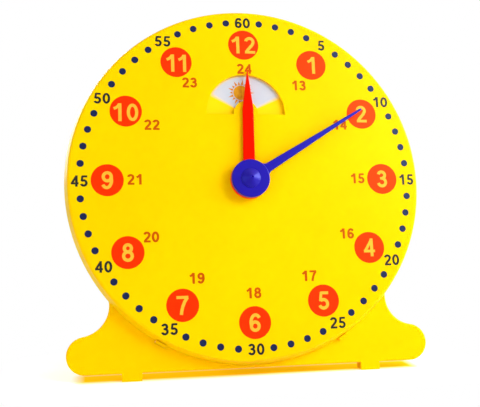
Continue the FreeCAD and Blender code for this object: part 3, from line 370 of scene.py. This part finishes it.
def add_ribbon(bm, points, width, low, high, closed=False):
    """A flat stroke of constant width along the points, with square ends."""
    rows = []
    count = len(points)
    for i, (x, y) in enumerate(points):
        before = Vector(points[i - 1] if closed or i else points[i])
        after = Vector(points[(i + 1) % count] if closed or i < count - 1 else points[i])
        along = (after - before).normalized()
        side = Vector((-along.y, along.x)) * (width / 2)
        rows.append([bm.verts.new((x + sign * side.x, y + sign * side.y, z))
                     for sign, z in ((1, low), (1, high), (-1, high), (-1, low))])
    following = rows[1:] + (rows[:1] if closed else [])
    for first, second in zip(rows, following):
        for i in range(4):
            j = (i + 1) % 4
            bm.faces.new((first[i], first[j], second[j], second[i]))
    if not closed:
        bm.faces.new(list(reversed(rows[0])))
        bm.faces.new(rows[-1])


def ellipse(x, y, wide, tall, start=0, end=360, steps=40):
    """Points of an ellipse from one angle to another, in degrees."""
    whole = abs(end - start) == 360
    turns = [math.radians(start + (end - start) * i / steps) for i in range(steps + (not whole))]
    return [(x + wide * math.cos(turn), y + tall * math.sin(turn)) for turn in turns]


def half_turn(points):
    """The points of a 6 turned round into those of a 9."""
    return [(SIX_WIDTH - x, 1 - y) for x, y in points]


# Width, closed eye and open sweep of a 6.
SIX_WIDTH = 0.67
TALL_EYE = ellipse(0.335, 0.315, 0.21, 0.22)
SWEEP = ellipse(0.37, 0.50, 0.255, 0.405, 210, 38)

# Strokes of the digits for a height of 1: points, closed, and width as a share of the usual stroke.
DIGITS = {
    "0": [(ellipse(0.32, 0.5, 0.225, 0.405), True, 1)],
    "1": [([(0.42, 0), (0.42, 1)], False, 1.05),
          ([(0.09, 0.70), (0.22, 0.755), (0.33, 0.85), (0.38, 0.95)], False, 0.9)],
    "2": [(ellipse(0.32, 0.70, 0.215, 0.205, 170, -20) +
           [(0.46, 0.50), (0.33, 0.36), (0.21, 0.23), (0.14, 0.10)], False, 1),
          ([(0.045, 0.085), (0.635, 0.085)], False, 0.9)],
    "3": [(ellipse(0.31, 0.7225, 0.19, 0.1875, 165, -90), False, 1),
          (ellipse(0.31, 0.315, 0.22, 0.22, 90, -165), False, 1),
          ([(0.21, 0.535), (0.36, 0.535)], False, 0.8)],
    "4": [([(0.46, 0), (0.46, 1)], False, 1), ([(0.0, 0.30), (0.645, 0.30)], False, 0.88),
          ([(0.075, 0.30), (0.475, 0.96)], False, 0.88)],
    "5": [([(0.155, 0.915), (0.60, 0.915)], False, 0.9), ([(0.20, 0.95), (0.135, 0.47)], False, 0.88),
          (ellipse(0.305, 0.325, 0.225, 0.23, 135, -160), False, 1)],
    "6": [(TALL_EYE, True, 1), (SWEEP, False, 1)],
    "7": [([(0.02, 0.915), (0.65, 0.915)], False, 0.9),
          ([(0.595, 0.90), (0.46, 0.70), (0.35, 0.44), (0.285, 0.2), (0.26, 0.0)], False, 1)],
    "8": [(ellipse(0.32, 0.7225, 0.185, 0.1875), True, 1), (ellipse(0.32, 0.315, 0.225, 0.22), True, 1)],
    "9": [(half_turn(TALL_EYE), True, 1), (half_turn(SWEEP), False, 1)],
}


def mesh_object(name, bm):
    """An object in the scene made from a bmesh, which is used up."""
    bmesh.ops.recalc_face_normals(bm, faces=bm.faces)
    mesh = bpy.data.meshes.new(name)
    bm.to_mesh(mesh)
    bm.free()
    made = bpy.data.objects.new(name, mesh)
    bpy.context.scene.collection.objects.link(made)
    return made


def joined_strokes(strokes, stroke):
    """The union of a digit's strokes, as a mesh of height 1 from z 0 to z 1."""
    pieces = []
    for points, closed, share in strokes:
        bm = bmesh.new()
        add_ribbon(bm, points, stroke * share, 0, 1, closed)
        pieces.append(mesh_object("stroke", bm))
    for other in pieces[1:]:
        union = pieces[0].modifiers.new("join", "BOOLEAN")
        union.operation = "UNION"
        union.solver = "EXACT"
        union.object = other
    evaluated = pieces[0].evaluated_get(bpy.context.evaluated_depsgraph_get())
    mesh = bpy.data.meshes.new_from_object(evaluated)
    for piece in pieces:
        bpy.data.objects.remove(piece)
    return mesh


GLYPHS = {kind: {digit: joined_strokes(strokes, stroke) for digit, strokes in DIGITS.items()}
          for kind, (height, stroke, step, stretch) in NUMERALS.items()}


def add_number(bm, kind, number, x, y, low, high):
    """The digits of a number, centred on a point."""
    height, stroke, step, stretch = NUMERALS[kind]
    if number == 11:
        step = DOUBLE_ONE_STEP
    glyphs = [GLYPHS[kind][digit] for digit in str(number)]
    spots = [vertex.co.x + i * step for i, glyph in enumerate(glyphs) for vertex in glyph.vertices]
    middle = (min(spots) + max(spots)) / 2
    for i, glyph in enumerate(glyphs):
        across = Matrix.Translation(((i * step - middle) * height * stretch, 0, 0))
        size = Matrix.Diagonal((height * stretch, height, high - low, 1))
        placed = glyph.copy()
        placed.transform(Matrix.Translation((x, y - height / 2, low)) @ across @ size)
        bm.from_mesh(placed)
        bpy.data.meshes.remove(placed)


def around(wide, tall, minutes, lift=0.0):
    """A point on a ring of the dial, at a number of minutes clockwise from twelve."""
    turn = math.radians(6 * minutes)
    return wide * math.sin(turn), tall * math.cos(turn) + lift


def circle_points(x, y, radius, sides):
    return ellipse(x, y, radius, radius, 0, 360, sides)


def finish_print(name, bm, material, body="clock_body", at=DIAL):
    """Make a named piece of a bmesh, and let it move with a body."""
    made = mesh_object(name, bm)
    made.data.materials.append(material)
    made.matrix_world = at
    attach(made, body)


def dial_print():
    """The dial's print: minute dots and numerals, number discs with hours, afternoon numerals."""
    dots, minutes = bmesh.new(), bmesh.new()
    discs, digits, afternoon = bmesh.new(), bmesh.new(), bmesh.new()
    for minute in range(1, 61):
        x, y = around(MINUTE_RING, MINUTE_RING, minute)
        if minute % 5:
            add_prism(dots, circle_points(x, y, DOT_RADIUS, DOT_SIDES), -INK_SINK, INK_RISE)
        else:
            add_number(minutes, "minute", minute, x, y, -INK_SINK, INK_RISE)
    for hour in range(1, 13):
        x, y = around(NUMBER_WIDE, NUMBER_TALL, hour * 5, NUMBER_LIFT)
        shift_x, shift_y = HOUR_SHIFT.get(hour, (0, 0))
        x, y = x + shift_x, y + shift_y
        add_prism(discs, circle_points(x, y, NUMBER_DISC, DISC_SIDES), -INK_SINK, INK_RISE)
        add_number(digits, "hour", hour, x, y - HOUR_DROP.get(hour, 0), INK_RISE / 2, 2 * INK_RISE)
    for hour in range(13, 25):
        x, y = around(AFTERNOON_RING, AFTERNOON_RING, hour * 5, AFTERNOON_LIFT)
        shift_x, shift_y = AFTERNOON_SHIFT.get(hour, (0, 0))
        add_number(afternoon, "afternoon", hour, x + shift_x, y + shift_y, -INK_SINK, INK_RISE)
    finish_print("minute_dots", dots, navy_ink)
    finish_print("minute_numerals", minutes, black_ink)
    finish_print("number_discs", discs, disc_ink)
    finish_print("hour_numerals", digits, digit_ink)
    finish_print("afternoon_numerals", afternoon, afternoon_ink)


def slot_webs():
    """Thin yellow sheets behind the play outside each clip of the dish, put there as painted shade."""
    for side, name in ((-1, "slot_shade_sheet_left"), (1, "slot_shade_sheet_right")):
        sheet = bmesh.new()
        corners = [(-SHEET_HALF, SHEET_NEAR), (SHEET_HALF, SHEET_NEAR), (SHEET_HALF, SHEET_FAR), (-SHEET_HALF, SHEET_FAR)]
        add_prism(sheet, corners, SHEET_BACK, SHEET_BACK + SHEET_THICK)
        turn = Matrix.Rotation(side * math.radians(CLIP_ANGLE), 4, "Z")
        finish_print(name, sheet, yellow, at=DIAL @ turn)


def star_points(x, y, radius):
    """The tips of a star and the notches between them, from the top tip onwards."""
    points = []
    for i in range(2 * STAR_TIPS):
        turn = math.radians(90 + 180 * i / STAR_TIPS)
        reach = radius * (STAR_NOTCH if i % 2 else 1)
        points.append((x + reach * math.cos(turn), y + reach * math.sin(turn)))
    return points


def disc_print():
    """The day/night disc's print: sky, a plain sun with straight rays, a moon and stars."""
    at = DIAL @ Matrix.Translation((0, DISC_UP, SKY_FRONT))
    plate = bmesh.new()
    middle = circle_points(0, 0, (SKY_INNER + SKY_OUTER) / 2, SKY_SIDES)
    add_ribbon(plate, middle, SKY_OUTER - SKY_INNER, -INK_SINK, INK_RISE / 2, closed=True)
    finish_print("sky_print", plate, sky, "day_night", at)

    rays, core = bmesh.new(), bmesh.new()
    x, y = SUN_AT
    for i in range(SUN_RAYS):
        turn = 2 * math.pi * i / SUN_RAYS
        out = Vector((math.cos(turn), math.sin(turn)))
        side = Vector((-out.y, out.x)) * RAY_HALF
        foot, tip = out * RAY_NEAR, out * (RAY_SHORT if i % 2 else RAY_FAR)
        corners = [foot + side, foot - side, tip]
        add_prism(rays, [(x + corner.x, y + corner.y) for corner in corners], 0, INK_RISE)
    add_prism(core, circle_points(x, y, SUN_RADIUS, SUN_SIDES), 0, INK_RISE)
    finish_print("sun_rays", rays, sun_ink, "day_night", at)
    finish_print("sun_disc", core, sun_core_ink, "day_night", at)

    night = bmesh.new()
    x, y = MOON_AT
    crescent = ellipse(x, y, MOON_RADIUS, MOON_RADIUS, 50, 310, 40)
    size = HOLLOW_SIZE * MOON_RADIUS
    hollow = ellipse(x + HOLLOW_OFFSET * MOON_RADIUS, y, size, size, 270, 90, 30)
    add_prism(night, crescent + hollow, 0, INK_RISE)
    for star_x, star_y, radius in STARS:
        add_prism(night, star_points(star_x * MM, star_y * MM, radius * MM), 0, INK_RISE)
    finish_print("moon_and_stars", night, star_ink, "day_night", at)


dial_print()
disc_print()
slot_webs()


# --- Studio --------------------------------------------------------------------------------------

def outside(tree, middle, half, near, far):
    """0 on a rectangle of the floor, up to near, rising to 1 at far outside it."""
    spot = node(tree, "TexCoord")
    reached = spot.outputs["Object"]
    for operation, other in (("SUBTRACT", middle), ("ABSOLUTE", None), ("SUBTRACT", half),
                             ("MAXIMUM", (0, 0, 0))):
        step = node(tree, "VectorMath", operation=operation)
        tree.links.new(reached, step.inputs[0])
        if other:
            step.inputs[1].default_value = other
        reached = step.outputs["Vector"]
    distance = node(tree, "VectorMath", operation="LENGTH")
    tree.links.new(reached, distance.inputs[0])
    return ramp(tree, distance.outputs["Value"], near, far, 0, 1)


def seen_by_camera(tree, level):
    """The level for camera rays, and 0 for all others."""
    path = node(tree, "LightPath")
    seen = node(tree, "Math", operation="MULTIPLY")
    tree.links.new(path.outputs["Is Camera Ray"], seen.inputs[0])
    if isinstance(level, float):
        seen.inputs[1].default_value = level
    else:
        tree.links.new(level, seen.inputs[1])
    return seen.outputs[0]


def studio_floor():
    """A pale floor with the clock's shadow near it, painted warm shadow and bounce light under the stand,
    and painted light for the camera that pales the shadow, turning to plain white away from it.
    """
    bm = bmesh.new()
    bmesh.ops.create_grid(bm, x_segments=2, y_segments=2, size=FLOOR_HALF)
    floor = mesh_object("floor", bm)
    material, tree, shader = new_material("floor")
    shader.inputs["Specular IOR Level"].default_value = 0.0
    # Painted warm shadow and bounce light under the stand's lower edge, in the floor's colour and in its
    # camera-only lift.
    open_floor = outside(tree, *UNDER_STAND, *STAND_FADE)
    tree.links.new(mix_colour(tree, open_floor, FLOOR_PAINTED_BOUNCE, FLOOR_WHITE), shader.inputs["Base Color"])
    lift = node(tree, "Emission")
    tree.links.new(mix_colour(tree, open_floor, LIFT_PAINTED_BOUNCE, LIFT_PALE), lift.inputs["Color"])
    tree.links.new(seen_by_camera(tree, SHADOW_LIFT), lift.inputs["Strength"])
    shaded = node(tree, "AddShader")
    white = node(tree, "Emission", Strength=1.0)
    blend = node(tree, "MixShader")
    away = outside(tree, *UNDER_CLOCK, *SHADOW_FADE)
    tree.links.new(seen_by_camera(tree, away), blend.inputs["Fac"])
    tree.links.new(shader.outputs[0], shaded.inputs[0])
    tree.links.new(lift.outputs[0], shaded.inputs[1])
    tree.links.new(shaded.outputs[0], blend.inputs[1])
    tree.links.new(white.outputs[0], blend.inputs[2])
    tree.links.new(blend.outputs[0], tree.nodes["Material Output"].inputs["Surface"])
    floor.data.materials.append(material)


def studio_world(soft):
    """White where the camera, a reflection or glass sees it, softer as a lamp."""
    world = bpy.data.worlds.new("studio")
    bpy.context.scene.world = world
    world.use_nodes = True
    tree = world.node_tree
    backdrop = tree.nodes["Background"]
    path = node(tree, "LightPath")
    seen = path.outputs["Is Camera Ray"]
    for other in ("Is Glossy Ray", "Is Transmission Ray"):
        both = node(tree, "Math", operation="MAXIMUM")
        tree.links.new(seen, both.inputs[0])
        tree.links.new(path.outputs[other], both.inputs[1])
        seen = both.outputs[0]
    tree.links.new(ramp(tree, seen, 0, 1, soft, 1.0), backdrop.inputs["Strength"])
    backdrop.inputs["Color"].default_value = (1, 1, 1, 1)


def softbox(name, at, size, level):
    """A square lamp that faces the hub."""
    data = bpy.data.lights.new(name, "AREA")
    data.shape = "SQUARE"
    data.size = size
    data.energy = level * math.pi * size * size
    lamp = bpy.data.objects.new(name, data)
    lamp.location = HUB + ACROSS * at[0] + UP_DIAL * at[1] + NORMAL * at[2]
    lamp.rotation_euler = (HUB - lamp.location).to_track_quat("-Z", "Y").to_euler()
    bpy.context.scene.collection.objects.link(lamp)


def camera():
    """The studio camera, level and looking along +Y before its three turns."""
    data = bpy.data.cameras.new("camera")
    data.sensor_width = CAMERA_SENSOR
    data.lens = CAMERA_LENS
    made = bpy.data.objects.new("camera", data)
    turn = Matrix.Rotation(-math.radians(CAMERA_HEADING), 4, "Z")
    tilt = Matrix.Rotation(math.radians(90 + CAMERA_TILT), 4, "X")
    roll = Matrix.Rotation(-math.radians(CAMERA_ROLL), 4, "Z")
    made.matrix_world = Matrix.Translation(CAMERA_AT) @ turn @ tilt @ roll
    bpy.context.scene.collection.objects.link(made)
    bpy.context.scene.camera = made


studio_floor()
studio_world(WORLD_LEVEL)
for name, (at, size, level) in LAMPS.items():
    softbox(name, at, size, level)
camera()
bpy.context.scene.view_settings.view_transform = "Standard"
